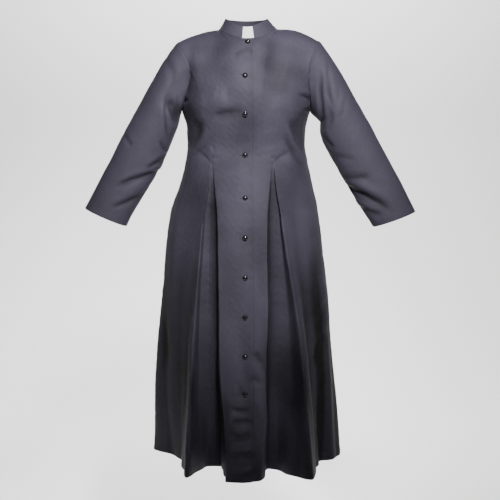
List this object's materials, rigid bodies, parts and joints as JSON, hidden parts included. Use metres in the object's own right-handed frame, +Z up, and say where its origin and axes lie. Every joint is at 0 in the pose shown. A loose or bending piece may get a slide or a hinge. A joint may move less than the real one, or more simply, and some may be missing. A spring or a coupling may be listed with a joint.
{
  "type": "cassock",
  "caption": "Full-length black clergy robe, buttoned down the front, with band collar, long sleeves and a flared skirt with inverted front pleats, hanging filled out with no wearer.",
  "frame": {"origin": "the middle of the shoulders at the base of the neck, where the wearer's shoulders hold the robe up", "axes": "+Z up along the hanging robe, -Y out of its buttoned front, +X towards the wearer's left"},
  "size_m": [0.9828, 0.502, 1.3196],
  "materials": {
    "black_cloth": "matt, faintly violet black plain weave in poly-cotton",
    "black_button": "polished domed plastic",
    "white_tab": "smooth white"
  },
  "bodies": {
    "root": {"front_right": "black_cloth", "front_left": "black_cloth", "side_front_left": "black_cloth", "side_front_right": "black_cloth", "side_back_left": "black_cloth", "side_back_right": "black_cloth", "back": "black_cloth", "sleeve_left": "black_cloth", "sleeve_right": "black_cloth", "collar": "black_cloth", "collar_tab": "white_tab", "button_01": "black_button", "button_02": "black_button", "button_03": "black_button", "button_04": "black_button", "button_05": "black_button", "button_06": "black_button", "button_07": "black_button", "button_08": "black_button", "button_09": "black_button", "button_10": "black_button"}
  },
  "joints": []
}
